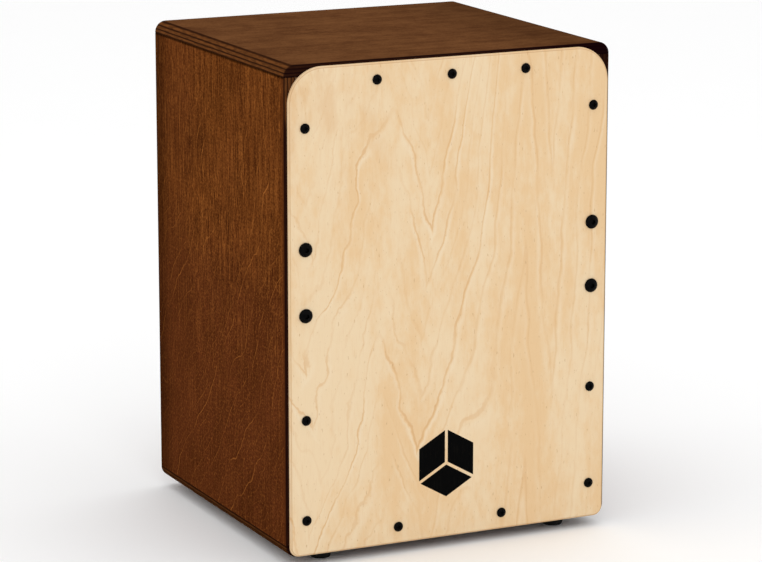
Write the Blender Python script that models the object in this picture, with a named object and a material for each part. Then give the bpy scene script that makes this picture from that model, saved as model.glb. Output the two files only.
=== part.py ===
"""Cajon: a plywood box drum with a thin playing surface, snares inside and rubber feet.

Metres, +Z up. The playing surface faces -Y, and +X is to the right seen from the front.
The origin is on the floor, under the middle of the drum's bounding box.
"""
import math

import bmesh
import bpy
from mathutils import Matrix, Vector

# Whole drum
WIDTH = 0.320
HEIGHT = 0.450
SHELL_DEPTH = 0.297
FOOT_HEIGHT = 0.009
GAP = 0.0003

# Shell
PANEL = 0.0105
CORNER_STEPS = 8
EASE = 0.0025
EASE_STEPS = 3
BACK_PANEL = 0.006
BATTEN = 0.018
BATTEN_EASE = 0.001

# Playing surface
TAPA = 0.003
TAPA_INSET = 0.0025
TAPA_BASE_INSET = 0.0008
TAPA_TOP_RADIUS = 0.032
TAPA_BOTTOM_RADIUS = 0.009
TAPA_EASE = 0.0023

# Sound hole in the back panel
HOLE_RADIUS = 0.0575
HOLE_HEIGHT = 0.285
HOLE_EASE = 0.0015
HOLE_STEPS = 48

# Fasteners of the playing surface: two columns and two rows
COLUMN_X = 0.142
COLUMN_SCREW_HEIGHTS = (0.3945, 0.134, 0.0425)
BOLT_HEIGHTS = (0.2875, 0.2285)
TOP_ROW_X = (-0.073, 0.0, 0.073)
TOP_ROW_HEIGHT = HEIGHT - 0.0175
BOTTOM_ROW_X = (-0.052, 0.052)
BOTTOM_ROW_HEIGHT = FOOT_HEIGHT + 0.0165

# Small screws
SCREW_HEAD_RADIUS = 0.0045
SCREW_HEAD_HEIGHT = 0.0026
SCREW_SHANK_RADIUS = 0.0018
SCREW_LENGTH = 0.016
SCREW_STEPS = 20

# Large bolts with their washers and nuts
BOLT_HEAD_RADIUS = 0.0064
BOLT_HEAD_HEIGHT = 0.0033
BOLT_SHANK_RADIUS = 0.003
BOLT_SPARE = 0.002
BOLT_SOCKET = 0.004
BOLT_SOCKET_DEPTH = 0.002
WASHER_RADIUS = 0.0055
WASHER = 0.0016
NUT_ACROSS_FLATS = 0.010
NUT = 0.005

# Snares
SNARE_BAR = 0.012
SNARE_BAR_HEIGHT = 0.088
SNARE_X = 0.068
SNARE_PLATE = 0.0012
SNARE_PLATE_WIDTH = 0.055
SNARE_PLATE_HEIGHT = 0.018
SNARE_WIRES = 10
SNARE_WIRE_RADIUS = 0.0011
SNARE_WIRE_PITCH = 0.0056
SNARE_WIRE_RISE = 0.112
SNARE_WIRE_SINK = 0.0002
SNARE_SCREW_X = 0.020
SNARE_SCREW_LENGTH = 0.009
SNARE_SCREW_HEAD_RADIUS = 0.0031
SNARE_SCREW_HEAD_HEIGHT = 0.002
SNARE_SCREW_RADIUS = 0.0014

# Feet
FOOT_TOP_RADIUS = 0.011
FOOT_BASE_RADIUS = 0.0095
FOOT_INSET_X = 0.042
FOOT_INSET_Y = 0.021
FOOT_RIM = 0.0025
FOOT_ROUNDING = 0.002
FOOT_STEPS = 32
FOOT_RECESS_RADIUS = 0.0056
FOOT_RECESS = 0.0053
FOOT_WASHER = 0.001
FOOT_WASHER_RADIUS = 0.005
FOOT_SCREW_LENGTH = 0.012
FOOT_SCREW_HEAD_RADIUS = 0.0038
FOOT_SCREW_HEAD_HEIGHT = 0.0023

# Places that follow from the sizes
DEPTH = SHELL_DEPTH + GAP + TAPA + GAP + BOLT_HEAD_HEIGHT
SHELL_BACK = DEPTH / 2
SHELL_FRONT = SHELL_BACK - SHELL_DEPTH
SHELL_MIDDLE = (SHELL_FRONT + SHELL_BACK) / 2
TAPA_BACK = SHELL_FRONT - GAP
TAPA_FRONT = TAPA_BACK - TAPA
SHELL_BASE = FOOT_HEIGHT
INNER_X = WIDTH / 2 - PANEL
INNER_BASE = SHELL_BASE + PANEL
INNER_TOP = HEIGHT - PANEL
INNER_MIDDLE = (INNER_BASE + INNER_TOP) / 2
BATTEN_X = INNER_X - GAP - BATTEN / 2
SNARE_BAR_FRONT = SHELL_FRONT + BATTEN + GAP
SNARE_BAR_BACK = SNARE_BAR_FRONT + SNARE_BAR
SNARE_BAR_Z = sum(BOLT_HEIGHTS) / 2

FACE_FRONT = (math.pi / 2, 0.0, 0.0)
FACE_BACK = (-math.pi / 2, 0.0, 0.0)
FACE_DOWN = (math.pi, 0.0, 0.0)


# Materials

def material(name, colour, roughness, metallic=0.0):
    """A Principled material; the colour is linear red, green and blue."""
    made = bpy.data.materials.new(name)
    made.use_nodes = True
    shader = made.node_tree.nodes["Principled BSDF"]
    shader.inputs["Base Color"].default_value = (*colour, 1.0)
    shader.inputs["Roughness"].default_value = roughness
    shader.inputs["Metallic"].default_value = metallic
    return made


# Shapes

def arc(centre_x, centre_y, radius, start, end, steps):
    """Points on an arc from start to end degrees, both ends included."""
    points = []
    for step in range(steps + 1):
        angle = math.radians(start + (end - start) * step / steps)
        points.append((centre_x + radius * math.cos(angle), centre_y + radius * math.sin(angle)))
    return points


def prism(outline, low, high, taper=1.0):
    """A solid with a flat outline in XY, from low to high in Z; taper scales the low end."""
    mesh = bmesh.new()
    corners = [mesh.verts.new((x * taper, y * taper, low)) for x, y in outline]
    face = mesh.faces.new(corners)
    extruded = bmesh.ops.extrude_face_region(mesh, geom=[face])
    raised = [item for item in extruded["geom"] if isinstance(item, bmesh.types.BMVert)]
    for corner in raised:
        corner.co = Vector((corner.co.x / taper, corner.co.y / taper, high))
    bmesh.ops.recalc_face_normals(mesh, faces=mesh.faces)
    return mesh


def block(width, depth, height):
    """A box centred on the origin."""
    mesh = bmesh.new()
    bmesh.ops.create_cube(mesh, size=1.0, matrix=Matrix.Diagonal((width, depth, height, 1.0)))
    return mesh


def lathe(profile, steps, closed=False):
    """A solid turned about Z from (radius, height) points; a closed profile makes a ring."""
    mesh = bmesh.new()
    points = [mesh.verts.new((radius, 0.0, height)) for radius, height in profile]
    pairs = list(zip(points, points[1:]))
    if closed:
        pairs.append((points[-1], points[0]))
    edges = [mesh.edges.new(pair) for pair in pairs]
    bmesh.ops.spin(mesh, geom=points + edges, cent=(0, 0, 0), axis=(0, 0, 1),
                   angle=2 * math.pi, steps=steps, use_merge=True)
    bmesh.ops.remove_doubles(mesh, verts=mesh.verts, dist=1e-6)
    bmesh.ops.recalc_face_normals(mesh, faces=mesh.faces)
    return mesh


def rod(start, end, radius, steps):
    """A straight round bar between two points."""
    axis = Vector(end) - Vector(start)
    turn = axis.to_track_quat("Z", "Y").to_matrix().to_4x4()
    centre = Matrix.Translation((Vector(start) + Vector(end)) / 2)
    mesh = bmesh.new()
    bmesh.ops.create_cone(mesh, cap_ends=True, segments=steps, radius1=radius, radius2=radius,
                          depth=axis.length, matrix=centre @ turn)
    return mesh


def merged(meshes):
    """Several separate solids in one mesh."""
    whole = bmesh.new()
    for mesh in meshes:
        part = bpy.data.meshes.new("part")
        mesh.to_mesh(part)
        mesh.free()
        whole.from_mesh(part)
        bpy.data.meshes.remove(part)
    return whole


def ease_edges(mesh, chosen, radius, steps):
    """Round the edges for which chosen(edge) is true."""
    edges = [edge for edge in mesh.edges if chosen(edge)]
    bmesh.ops.bevel(mesh, geom=edges, offset=radius, segments=steps, profile=0.5, affect="EDGES")


def middle(edge):
    return (edge.verts[0].co + edge.verts[1].co) / 2


# Objects

def add(name, mesh, look, at=(0.0, 0.0, 0.0), turned=(0.0, 0.0, 0.0), parent=None, smooth=None):
    """Make a named object; smooth is the angle in degrees below which edges shade smooth."""
    data = bpy.data.meshes.new(name)
    mesh.to_mesh(data)
    mesh.free()
    return place(name, data, look, at, turned, parent, smooth)


def place(name, data, look, at, turned, parent, smooth=None):
    made = bpy.data.objects.new(name, data)
    bpy.context.scene.collection.objects.link(made)
    made.location = at
    made.rotation_euler = turned
    made.parent = parent
    if not data.materials:
        data.materials.append(look)
    if smooth is not None:
        data.shade_smooth()
        data.set_sharp_from_angle(angle=math.radians(smooth))
    return made


def group(name, parent=None):
    """An empty that holds the pieces of one sub-assembly together."""
    made = bpy.data.objects.new(name, None)
    bpy.context.scene.collection.objects.link(made)
    made.parent = parent
    return made


def combine(target, tool_mesh, operation):
    """Cut the tool out of the target, or join it on, for good."""
    data = bpy.data.meshes.new("tool")
    tool_mesh.to_mesh(data)
    tool_mesh.free()
    tool = bpy.data.objects.new("tool", data)
    bpy.context.scene.collection.objects.link(tool)
    step = target.modifiers.new("combine", "BOOLEAN")
    step.operation = operation
    step.solver = "EXACT"
    step.object = tool
    graph = bpy.context.evaluated_depsgraph_get()
    result = bpy.data.meshes.new_from_object(target.evaluated_get(graph))
    target.modifiers.clear()
    before = target.data
    target.data = result
    result.name = target.name
    bpy.data.meshes.remove(before)
    bpy.data.objects.remove(tool)
    bpy.data.meshes.remove(data)


def holes_along_y(places, radius, low, high):
    """Round cutters along Y at (x, z) places."""
    return merged([rod((x, low, z), (x, high, z), radius, SCREW_STEPS) for x, z in places])


# Fastener places on the playing surface

def screw_places():
    places = {}
    for side, x in (("left", -COLUMN_X), ("right", COLUMN_X)):
        for level, height in zip(("upper", "lower", "bottom"), COLUMN_SCREW_HEIGHTS):
            places[f"tapa_screw_{side}_{level}"] = (x, height)
    for label, x in zip(("left", "middle", "right"), TOP_ROW_X):
        places[f"tapa_screw_top_{label}"] = (x, TOP_ROW_HEIGHT)
    for label, x in zip(("left", "right"), BOTTOM_ROW_X):
        places[f"tapa_screw_base_{label}"] = (x, BOTTOM_ROW_HEIGHT)
    return places


def bolt_places():
    places = {}
    for side, x in (("left", -COLUMN_X), ("right", COLUMN_X)):
        for level, height in zip(("upper", "lower"), BOLT_HEIGHTS):
            places[f"{side}_{level}"] = (x, height)
    return places


def foot_places():
    x = WIDTH / 2 - FOOT_INSET_X
    front = SHELL_FRONT + FOOT_INSET_Y
    back = SHELL_BACK - FOOT_INSET_Y
    return {
        "front_left": (-x, front),
        "front_right": (x, front),
        "back_left": (-x, back),
        "back_right": (x, back),
    }


# Shell

def end_panel(name, look, parent, over):
    """The top panel (over is 1) or the bottom panel (over is -1), with two rounded long edges."""
    side = WIDTH / 2
    inner = side - PANEL
    outline = arc(inner, 0.0, PANEL, 0, 90, CORNER_STEPS) + arc(-inner, 0.0, PANEL, 90, 180, CORNER_STEPS)
    mesh = prism([(x, over * y) for x, y in outline], -SHELL_DEPTH / 2, SHELL_DEPTH / 2)

    def outer_rim(edge):
        ends = [abs(corner.co.z) > SHELL_DEPTH / 2 - 1e-6 for corner in edge.verts]
        return all(ends) and edge.verts[0].co.z * edge.verts[1].co.z > 0 and abs(middle(edge).y) > 1e-6

    ease_edges(mesh, outer_rim, EASE, EASE_STEPS)
    inner_face = INNER_TOP if over > 0 else INNER_BASE
    return add(name, mesh, look, (0, SHELL_MIDDLE, inner_face), FACE_FRONT, parent, 30)


def side_panel(name, look, parent, side):
    """A side panel between the top and bottom panels; side is 1 for the right, -1 for the left."""
    height = INNER_TOP - INNER_BASE - 2 * GAP
    mesh = block(PANEL, SHELL_DEPTH, height)

    def outer_corner(edge):
        along = edge.verts[0].co - edge.verts[1].co
        return abs(along.z) > height / 2 and middle(edge).x * side > 0

    ease_edges(mesh, outer_corner, EASE, EASE_STEPS)
    at = (side * (WIDTH - PANEL) / 2, SHELL_MIDDLE, INNER_MIDDLE)
    return add(name, mesh, look, at, parent=parent, smooth=30)


def back_panel(look, parent):
    """The back panel inside the shell, with its round sound hole."""
    width = 2 * (INNER_X - GAP)
    height = INNER_TOP - INNER_BASE - 2 * GAP
    y = SHELL_BACK - BACK_PANEL / 2
    panel = add("back_panel", block(width, BACK_PANEL, height), look, (0, y, INNER_MIDDLE), parent=parent)
    start = (0, y - BACK_PANEL, HOLE_HEIGHT)
    end = (0, y + BACK_PANEL, HOLE_HEIGHT)
    cutter = rod(start, end, HOLE_RADIUS, HOLE_STEPS)
    combine(panel, cutter, "DIFFERENCE")
    mesh = bmesh.new()
    mesh.from_mesh(panel.data)
    centre = Vector((0, HOLE_HEIGHT - INNER_MIDDLE))

    def rim(edge):
        flat = abs(edge.verts[0].co.y - edge.verts[1].co.y) < 1e-6
        spread = [(Vector((corner.co.x, corner.co.z)) - centre).length for corner in edge.verts]
        return flat and max(spread) < HOLE_RADIUS * 1.01

    ease_edges(mesh, rim, HOLE_EASE, 2)
    mesh.to_mesh(panel.data)
    mesh.free()
    panel.data.shade_smooth()
    panel.data.set_sharp_from_angle(angle=math.radians(30))
    return panel


def batten(name, look, parent, size, at, holes=None):
    """A square strip of wood; holes is a cutter mesh for the fasteners that go into it."""
    mesh = block(*size)
    ease_edges(mesh, lambda edge: True, BATTEN_EASE, 1)
    strip = add(name, mesh, look, at, parent=parent)
    if holes is not None:
        combine(strip, holes, "DIFFERENCE")
    return strip


def battens(look, parent):
    """Four strips behind the playing surface and four in front of the back panel."""
    upright = INNER_TOP - INNER_BASE - 2 * GAP
    level = 2 * (INNER_X - BATTEN - 2 * GAP)
    front_y = SHELL_FRONT + BATTEN / 2
    back_y = SHELL_BACK - BACK_PANEL - GAP - BATTEN / 2
    low = INNER_BASE + GAP + BATTEN / 2
    high = INNER_TOP - GAP - BATTEN / 2
    pilot_end = SHELL_FRONT + SCREW_LENGTH - TAPA
    for side, sign in (("left", -1), ("right", 1)):
        screws = [(sign * COLUMN_X, height) for height in COLUMN_SCREW_HEIGHTS]
        bolts = [(sign * COLUMN_X, height) for height in BOLT_HEIGHTS]
        pilots = holes_along_y(screws, SCREW_SHANK_RADIUS + GAP, TAPA_FRONT, pilot_end)
        through = holes_along_y(bolts, BOLT_SHANK_RADIUS + GAP, TAPA_FRONT, SNARE_BAR_BACK)
        at = (sign * BATTEN_X, front_y, INNER_MIDDLE)
        size = (BATTEN, BATTEN, upright)
        batten(f"front_batten_{side}", look, parent, size, at, merged([pilots, through]))
        batten(f"back_batten_{side}", look, parent, size, (sign * BATTEN_X, back_y, INNER_MIDDLE))
    size = (level, BATTEN, BATTEN)
    top = [(x, TOP_ROW_HEIGHT) for x in TOP_ROW_X]
    base = [(x, BOTTOM_ROW_HEIGHT) for x in BOTTOM_ROW_X]
    for label, places, z in (("top", top, high), ("bottom", base, low)):
        pilots = holes_along_y(places, SCREW_SHANK_RADIUS + GAP, TAPA_FRONT, pilot_end)
        batten(f"front_batten_{label}", look, parent, size, (0, front_y, z), pilots)
        batten(f"back_batten_{label}", look, parent, size, (0, back_y, z))


def playing_surface(look, parent):
    """The thin front board: large round top corners, small bottom ones, and an eased front edge."""
    side = WIDTH / 2 - TAPA_INSET
    low = SHELL_BASE + TAPA_BASE_INSET - INNER_MIDDLE
    high = HEIGHT - TAPA_INSET - INNER_MIDDLE
    top = TAPA_TOP_RADIUS
    base = TAPA_BOTTOM_RADIUS
    outline = arc(side - top, high - top, top, 0, 90, CORNER_STEPS)
    outline += arc(top - side, high - top, top, 90, 180, CORNER_STEPS)
    outline += arc(base - side, low + base, base, 180, 270, CORNER_STEPS)
    outline += arc(side - base, low + base, base, 270, 360, CORNER_STEPS)
    mesh = prism(outline, 0.0, TAPA)

    def front_edge(edge):
        return min(corner.co.z for corner in edge.verts) > TAPA - 1e-6

    ease_edges(mesh, front_edge, TAPA_EASE, EASE_STEPS)
    board = add("playing_surface", mesh, look, (0, TAPA_BACK, INNER_MIDDLE), FACE_FRONT, parent, 30)
    start = TAPA_FRONT - TAPA
    screws = holes_along_y(screw_places().values(), SCREW_SHANK_RADIUS + GAP, start, SHELL_FRONT)
    bolts = holes_along_y(bolt_places().values(), BOLT_SHANK_RADIUS + GAP, start, SHELL_FRONT)
    combine(board, merged([screws, bolts]), "DIFFERENCE")
    return board


# Fasteners

def dome(radius, height, steps):
    """Half of a domed head's profile, from the axis down to the rim."""
    sphere = (radius * radius + height * height) / (2 * height)
    half = math.asin(min(1.0, radius / sphere))
    points = []
    for step in range(steps + 1):
        angle = half * step / steps
        points.append((sphere * math.sin(angle), height - sphere + sphere * math.cos(angle)))
    return points


def headed_profile(head_radius, head_height, shank_radius, length, pointed):
    """Profile of a screw or bolt: a domed head on z = 0 and a shank below it."""
    skirt = head_height * 0.2
    cap = [(radius, height + skirt) for radius, height in dome(head_radius, head_height - skirt, 4)]
    tip = 2 * shank_radius if pointed else 0.0
    profile = cap + [(head_radius, 0.0), (shank_radius, 0.0), (shank_radius, tip - length)]
    profile.append((0.0, -length))
    return profile


def cross_outline(reach, half_slot):
    """A plus sign, for a cross recess."""
    corner = [(reach, -half_slot), (reach, half_slot), (half_slot, half_slot)]
    turned = []
    for quarter in range(4):
        for x, y in corner:
            for _ in range(quarter):
                x, y = -y, x
            turned.append((x, y))
    return turned


def hexagon(across_flats):
    """A regular hexagon with two of its sides facing left and right."""
    radius = across_flats / 2 / math.cos(math.pi / 6)
    return arc(0.0, 0.0, radius, 30, 330, 5)


def fastener(name, look, profile, recess):
    """Mesh data for a turned fastener with a recess in its head; it is placed many times."""
    master = add(name, lathe(profile, SCREW_STEPS), look)
    combine(master, recess, "DIFFERENCE")
    data = master.data
    bpy.data.objects.remove(master)
    data.shade_smooth()
    data.set_sharp_from_angle(angle=math.radians(35))
    return data


def cross_recess(head_height, reach, depth):
    return prism(cross_outline(reach, reach * 0.24), head_height - depth, head_height * 1.5, 0.6)


def tapa_fasteners(look, parent):
    """Small screws and large bolts whose heads sit on the playing surface."""
    length = SCREW_LENGTH - 2 * GAP
    profile = headed_profile(SCREW_HEAD_RADIUS, SCREW_HEAD_HEIGHT, SCREW_SHANK_RADIUS, length, True)
    recess = cross_recess(SCREW_HEAD_HEIGHT, SCREW_HEAD_RADIUS * 0.55, SCREW_HEAD_HEIGHT * 0.6)
    screw = fastener("tapa_screw", look, profile, recess)
    for name, (x, z) in screw_places().items():
        place(name, screw.copy(), look, (x, TAPA_FRONT - GAP, z), FACE_FRONT, parent)
    bpy.data.meshes.remove(screw)
    length = SNARE_BAR_BACK + GAP + WASHER + GAP + NUT + BOLT_SPARE - (TAPA_FRONT - GAP)
    profile = headed_profile(BOLT_HEAD_RADIUS, BOLT_HEAD_HEIGHT, BOLT_SHANK_RADIUS, length, False)
    socket = prism(hexagon(BOLT_SOCKET), BOLT_HEAD_HEIGHT - BOLT_SOCKET_DEPTH, BOLT_HEAD_HEIGHT * 1.5)
    bolt = fastener("tapa_bolt", look, profile, socket)
    for label, (x, z) in bolt_places().items():
        place(f"tapa_bolt_{label}", bolt.copy(), look, (x, TAPA_FRONT - GAP, z), FACE_FRONT, parent)
    bpy.data.meshes.remove(bolt)


def ring(inner, outer, height):
    """A flat ring standing on z = 0."""
    return lathe([(inner, 0), (outer, 0), (outer, height), (inner, height)], SCREW_STEPS, closed=True)


def bolt_nuts(look, parent):
    """A washer and a nut behind the snare bar for each large bolt."""
    washer_y = SNARE_BAR_BACK + GAP
    nut_y = washer_y + WASHER + GAP
    for label, (x, z) in bolt_places().items():
        washer = ring(BOLT_SHANK_RADIUS + GAP, WASHER_RADIUS, WASHER)
        add(f"washer_{label}", washer, look, (x, washer_y, z), FACE_BACK, parent, 35)
        solid = prism(hexagon(NUT_ACROSS_FLATS), 0.0, NUT)
        nut = add(f"nut_{label}", solid, look, (x, nut_y, z), FACE_BACK, parent)
        thread = holes_along_y([(x, z)], BOLT_SHANK_RADIUS + GAP, nut_y - NUT, nut_y + 2 * NUT)
        combine(nut, thread, "DIFFERENCE")


# Snares

def snare_bar(look, parent):
    """The board across the inside that the large bolts clamp behind the side battens."""
    size = (2 * (INNER_X - GAP), SNARE_BAR, SNARE_BAR_HEIGHT)
    mesh = block(*size)
    ease_edges(mesh, lambda edge: True, BATTEN_EASE, 1)
    at = (0, SNARE_BAR_FRONT + SNARE_BAR / 2, SNARE_BAR_Z)
    bar = add("snare_bar", mesh, look, at, parent=parent)
    end = SNARE_BAR_BACK + NUT
    bolts = holes_along_y(bolt_places().values(), BOLT_SHANK_RADIUS + GAP, SHELL_FRONT, end)
    end = SNARE_BAR_FRONT + SNARE_SCREW_LENGTH
    screws = holes_along_y(snare_screw_places().values(), SNARE_SCREW_RADIUS + GAP, SHELL_FRONT, end)
    combine(bar, merged([bolts, screws]), "DIFFERENCE")
    return bar


def snare_plate_z():
    """Middle height of the snare plates, near the top edge of the bar."""
    return SNARE_BAR_Z + SNARE_BAR_HEIGHT / 2 - SNARE_PLATE_HEIGHT / 2 - BATTEN_EASE


def snare_screw_places():
    places = {}
    for side, x in (("left", -SNARE_X), ("right", SNARE_X)):
        for end, shift in (("outer", SNARE_SCREW_X), ("inner", -SNARE_SCREW_X)):
            sign = -1 if side == "left" else 1
            places[f"{side}_{end}"] = (x + sign * shift, snare_plate_z() - SNARE_PLATE_HEIGHT * 0.2)
    return places


def snare_set(side, x, look, parent):
    """A steel plate with sprung wires that lean forward until they meet the playing surface."""
    plate_back = SNARE_BAR_FRONT - GAP
    plate_front = plate_back - SNARE_PLATE
    z = snare_plate_z()
    at = (x, plate_back - SNARE_PLATE / 2, z)
    mesh = block(SNARE_PLATE_WIDTH, SNARE_PLATE, SNARE_PLATE_HEIGHT)
    plate = add(f"snare_set_{side}", mesh, look, at, parent=parent)
    start_z = z + SNARE_PLATE_HEIGHT * 0.3
    start_y = plate_front - SNARE_WIRE_SINK
    end_y = TAPA_BACK + 2 * GAP + SNARE_WIRE_RADIUS
    wires = []
    for number in range(SNARE_WIRES):
        wire_x = x + (number - (SNARE_WIRES - 1) / 2) * SNARE_WIRE_PITCH
        start = (wire_x, start_y, start_z)
        end = (wire_x, end_y, start_z + SNARE_WIRE_RISE)
        wires.append(rod(start, end, SNARE_WIRE_RADIUS, 8))
    combine(plate, merged(wires), "UNION")
    screws = [spot for label, spot in snare_screw_places().items() if label.startswith(side)]
    cutter = holes_along_y(screws, SNARE_SCREW_RADIUS + GAP, plate_front - 0.01, SNARE_BAR_FRONT)
    combine(plate, cutter, "DIFFERENCE")
    return plate


def snare_screws(look, parent):
    profile = headed_profile(SNARE_SCREW_HEAD_RADIUS, SNARE_SCREW_HEAD_HEIGHT, SNARE_SCREW_RADIUS,
                             SNARE_SCREW_LENGTH, True)
    height = SNARE_SCREW_HEAD_HEIGHT
    recess = cross_recess(height, SNARE_SCREW_HEAD_RADIUS * 0.55, height * 0.6)
    screw = fastener("snare_screw", look, profile, recess)
    y = SNARE_BAR_FRONT - GAP - SNARE_PLATE - GAP
    for label, (x, z) in snare_screw_places().items():
        place(f"snare_screw_{label}", screw.copy(), look, (x, y, z), FACE_FRONT, parent)
    bpy.data.meshes.remove(screw)


# Feet

def foot_mesh():
    """A tapered rubber foot with a recess for its screw; its top is at z = 0."""
    top = -GAP
    base = -FOOT_HEIGHT
    hole = SCREW_SHANK_RADIUS + GAP
    recess = base + FOOT_RECESS
    profile = [(hole, top), (FOOT_TOP_RADIUS, top), (FOOT_TOP_RADIUS, top - FOOT_RIM)]
    profile += arc(FOOT_BASE_RADIUS - FOOT_ROUNDING, base + FOOT_ROUNDING, FOOT_ROUNDING, 0, -90, 3)
    profile += [(FOOT_RECESS_RADIUS, base), (FOOT_RECESS_RADIUS, recess), (hole, recess)]
    return lathe(profile, FOOT_STEPS, closed=True)


def feet(rubber, steel, black, parent):
    """Four rubber feet, each with a steel washer and a screw up into the bottom panel."""
    profile = headed_profile(FOOT_SCREW_HEAD_RADIUS, FOOT_SCREW_HEAD_HEIGHT, SCREW_SHANK_RADIUS,
                             FOOT_SCREW_LENGTH, True)
    height = FOOT_SCREW_HEAD_HEIGHT
    recess = cross_recess(height, FOOT_SCREW_HEAD_RADIUS * 0.55, height * 0.6)
    screw = fastener("foot_screw", black, profile, recess)
    washer_z = FOOT_RECESS - GAP - FOOT_WASHER
    for label, (x, y) in foot_places().items():
        add(f"foot_{label}", foot_mesh(), rubber, (x, y, SHELL_BASE), parent=parent, smooth=40)
        washer = ring(SCREW_SHANK_RADIUS + GAP, FOOT_WASHER_RADIUS, FOOT_WASHER)
        add(f"foot_washer_{label}", washer, steel, (x, y, washer_z), parent=parent, smooth=35)
        place(f"foot_screw_{label}", screw.copy(), black, (x, y, washer_z - GAP), FACE_DOWN, parent)
    bpy.data.meshes.remove(screw)


def drill_foot_pilots(panel):
    """Blind holes in the underside of the bottom panel for the foot screws."""
    end = FOOT_RECESS - FOOT_WASHER + FOOT_SCREW_LENGTH + GAP
    radius = SCREW_SHANK_RADIUS + GAP
    pilots = [rod((x, y, 0.0), (x, y, end), radius, SCREW_STEPS) for x, y in foot_places().values()]
    combine(panel, merged(pilots), "DIFFERENCE")


def build():
    for old in list(bpy.data.objects):
        bpy.data.objects.remove(old)
    stained = material("stained_plywood", (0.145, 0.055, 0.017), 0.5)
    birch = material("birch_veneer", (0.84, 0.67, 0.43), 0.45)
    raw_wood = material("raw_softwood", (0.62, 0.42, 0.22), 0.7)
    black_steel = material("black_steel", (0.012, 0.011, 0.011), 0.35, 0.6)
    bright_steel = material("zinc_plated_steel", (0.55, 0.55, 0.56), 0.3, 1.0)
    rubber = material("black_rubber", (0.012, 0.012, 0.012), 0.75)

    drum = group("cajon")
    shell = group("shell", drum)
    end_panel("top_panel", stained, shell, 1)
    bottom = end_panel("bottom_panel", stained, shell, -1)
    drill_foot_pilots(bottom)
    side_panel("left_side_panel", stained, shell, -1)
    side_panel("right_side_panel", stained, shell, 1)
    back_panel(stained, shell)
    battens(raw_wood, shell)

    front = group("front", drum)
    playing_surface(birch, front)
    tapa_fasteners(black_steel, front)

    snares = group("snares", drum)
    snare_bar(raw_wood, snares)
    bolt_nuts(bright_steel, snares)
    for side, x in (("left", -SNARE_X), ("right", SNARE_X)):
        snare_set(side, x, bright_steel, snares)
    snare_screws(bright_steel, snares)

    feet(rubber, bright_steel, bright_steel, group("feet", drum))


build()
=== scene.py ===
import math

import bmesh
import bpy
from mathutils import Matrix, Vector


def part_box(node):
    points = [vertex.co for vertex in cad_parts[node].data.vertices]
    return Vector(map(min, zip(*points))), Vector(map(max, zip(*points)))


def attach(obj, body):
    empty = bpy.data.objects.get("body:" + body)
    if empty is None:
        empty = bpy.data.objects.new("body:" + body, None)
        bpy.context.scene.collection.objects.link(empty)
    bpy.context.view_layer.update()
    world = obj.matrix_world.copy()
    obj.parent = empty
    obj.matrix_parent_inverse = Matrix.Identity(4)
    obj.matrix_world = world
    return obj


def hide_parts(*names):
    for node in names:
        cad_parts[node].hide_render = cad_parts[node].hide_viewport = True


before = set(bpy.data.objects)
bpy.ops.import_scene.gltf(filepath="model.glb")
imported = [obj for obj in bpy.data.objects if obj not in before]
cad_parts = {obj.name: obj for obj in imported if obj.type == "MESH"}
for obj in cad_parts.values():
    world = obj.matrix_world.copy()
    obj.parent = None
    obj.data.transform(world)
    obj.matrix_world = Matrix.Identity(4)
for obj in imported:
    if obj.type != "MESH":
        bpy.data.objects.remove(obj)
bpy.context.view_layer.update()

# Camera, from the front left and a little above: metres, degrees and millimetres
CAMERA_AT = (-1.331, -2.781, 0.907)
CAMERA_YAW = 25.61
CAMERA_PITCH = 12.63
CAMERA_LENS = 160.6
CAMERA_SENSOR = 36.0
CAMERA_CLIP = 0.05

# Studio: name, place, size and power of each lamp
LAMPS = (
    ("key", (-0.9, -2.6, 2.3), 1.6, 10.0),
    ("fill", (2.4, -1.8, 1.6), 1.8, 3.0),
    ("top", (0.0, 0.4, 3.2), 2.2, 6.0),
)
LAMPS_AIM = (0.0, 0.0, 0.22)
FLOOR_REACH = 14.0

# Shell
PANEL = 0.0105
EASE = 0.0025
GLUE_LINES = (0.0005, 0.0036, 0.0069, 0.0100)
GLUE_DEPTH = 0.00012
GLUE_HALF = 0.00012
LONG_EDGE_STEPS = 20
SIDE_END_EASE = 0.0003

# Playing surface
TAPA_TOP_RADIUS = 0.032
TAPA_BOTTOM_RADIUS = 0.009
TAPA_EASE = 0.0023
TAPA_EASE_STEPS = 8
TAPA_BACK_EASE = 0.0003
TAPA_GLUE_LINES = (0.00025, 0.0014, 0.0025)

# Sound hole
HOLE_RADIUS = 0.0575
HOLE_HEIGHT = 0.285
HOLE_EASE = 0.0015
HOLE_STEPS = 96
BACK_PANEL_EASE = 0.0004

# Gap between touching pieces
GAP = 0.0003

# Fasteners, washers and nuts; shanks and holes are radii
ROUND_STEPS = 48
SCREW_SHANK = 0.0018
SCREW_POINT = 0.0036
SCREW_HOLE = 0.0021
TAPA_SCREW_HEAD = 0.0026
FOOT_SCREW_HEAD = 0.0023
FOOT_SCREW_LENGTH = 0.012
SNARE_SCREW_HEAD = 0.002
SNARE_SCREW_SHANK = 0.0014
SNARE_SCREW_POINT = 0.0028
SNARE_SCREW_LENGTH = 0.009
SNARE_SCREW_HOLE = 0.0017
BOLT_HEAD = 0.0033
BOLT_SHANK = 0.003
BOLT_HOLE = 0.0033
BOLT_SOCKET = 0.004
BOLT_SOCKET_DEPTH = 0.0022
HEAD_UNDERCUT = 0.0002
TIP_EASE = 0.0003
DRILL_REACH = 0.02
DRILL_STEPS = 24
WASHER_EASE = 0.0002
NUT_STEPS = 72
NUT_CHAMFER = 0.0007
NUT_FLARE = 0.0036
NUT_FLARE_DEPTH = 0.0004

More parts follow.
